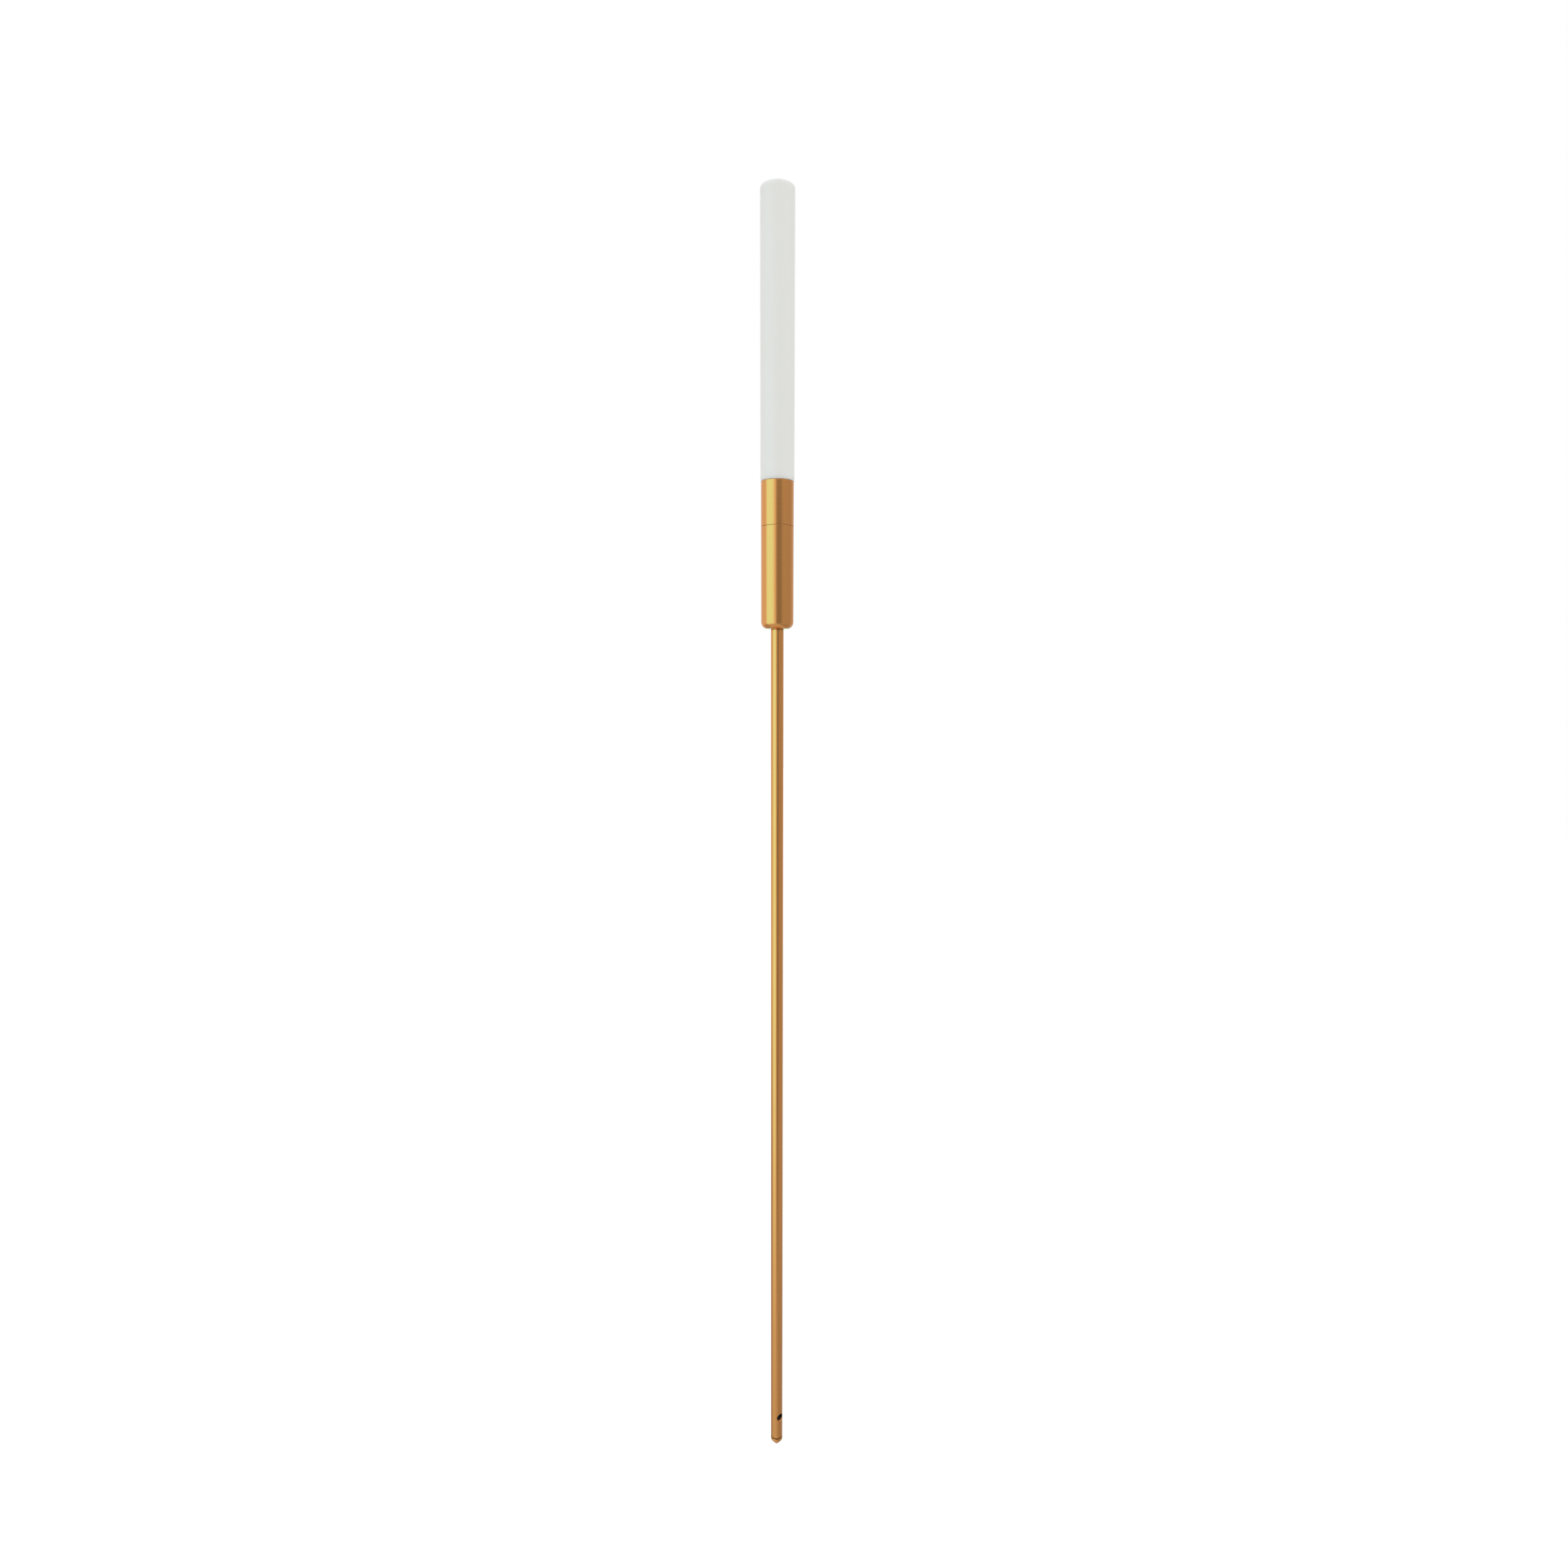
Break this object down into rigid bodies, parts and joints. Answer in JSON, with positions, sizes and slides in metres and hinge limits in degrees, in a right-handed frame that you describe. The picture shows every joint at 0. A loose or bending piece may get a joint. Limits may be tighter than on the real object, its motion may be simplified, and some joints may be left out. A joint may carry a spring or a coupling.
{
  "type": "ribbon wand",
  "caption": "Slim gymnastics ribbon wand: frosted grip, gold ferrule with a ball-bearing swivel, thin gold tube rod with a lined ribbon eyelet and a pointed tip.",
  "frame": {"origin": "centre of the grip tube on the wand's axis", "axes": "+Z along the wand's axis from the pointed tip to the grip's end, +X along the ribbon eyelet, +Y completes the right hand"},
  "size_m": [0.0151, 0.015, 0.6],
  "materials": {
    "frosted_acrylic": "frosted",
    "gold_anodised_aluminium": "satin, anodised",
    "plain_aluminium": "turned",
    "turned_steel": "turned",
    "spring_steel": "blued",
    "bearing_steel": "ground",
    "blackened_steel": "black oxide",
    "brass": "machined",
    "nitrile_rubber": "moulded",
    "black_nylon": "machined"
  },
  "bodies": {
    "grip": {"grip_tube": "frosted_acrylic", "grip_end_plug": "frosted_acrylic", "collar": "gold_anodised_aluminium", "spindle": "turned_steel", "hub_shim": "turned_steel", "inner_spacer": "turned_steel", "dust_seal": "nitrile_rubber", "upper_bearing_inner_race": "bearing_steel", "lower_bearing_inner_race": "bearing_steel"},
    "rod": {"housing": "gold_anodised_aluminium", "retaining_ring": "spring_steel", "wave_washer": "spring_steel", "outer_spacer": "plain_aluminium", "upper_bearing_outer_race": "bearing_steel", "lower_bearing_outer_race": "bearing_steel", "upper_bearing_shields": "bearing_steel", "lower_bearing_shields": "bearing_steel", "rod_tube": "gold_anodised_aluminium", "rod_anchor": "brass", "rod_screw": "blackened_steel", "rod_washer": "turned_steel", "tip_core": "black_nylon", "tip_plug": "gold_anodised_aluminium"},
    "upper_ball_set": {"upper_bearing_balls": "bearing_steel", "upper_bearing_cage": "brass"},
    "lower_ball_set": {"lower_bearing_balls": "bearing_steel", "lower_bearing_cage": "brass"}
  },
  "joints": [
    {"name": "rod_swivel", "type": "hinge", "parent": "grip", "child": "rod", "pos_m": [0, 0, -0.0917], "axis": [0, 0, 1], "continuous": true},
    {"name": "upper_balls_roll", "type": "hinge", "parent": "grip", "child": "upper_ball_set", "pos_m": [0, 0, -0.0857], "axis": [0, 0, 1], "continuous": true},
    {"name": "lower_balls_roll", "type": "hinge", "parent": "grip", "child": "lower_ball_set", "pos_m": [0, 0, -0.0977], "axis": [0, 0, 1], "continuous": true}
  ],
  "couplings": [
    {"joint": "upper_balls_roll", "follows": "rod_swivel", "ratio": 0.6},
    {"joint": "lower_balls_roll", "follows": "rod_swivel", "ratio": 0.6}
  ]
}
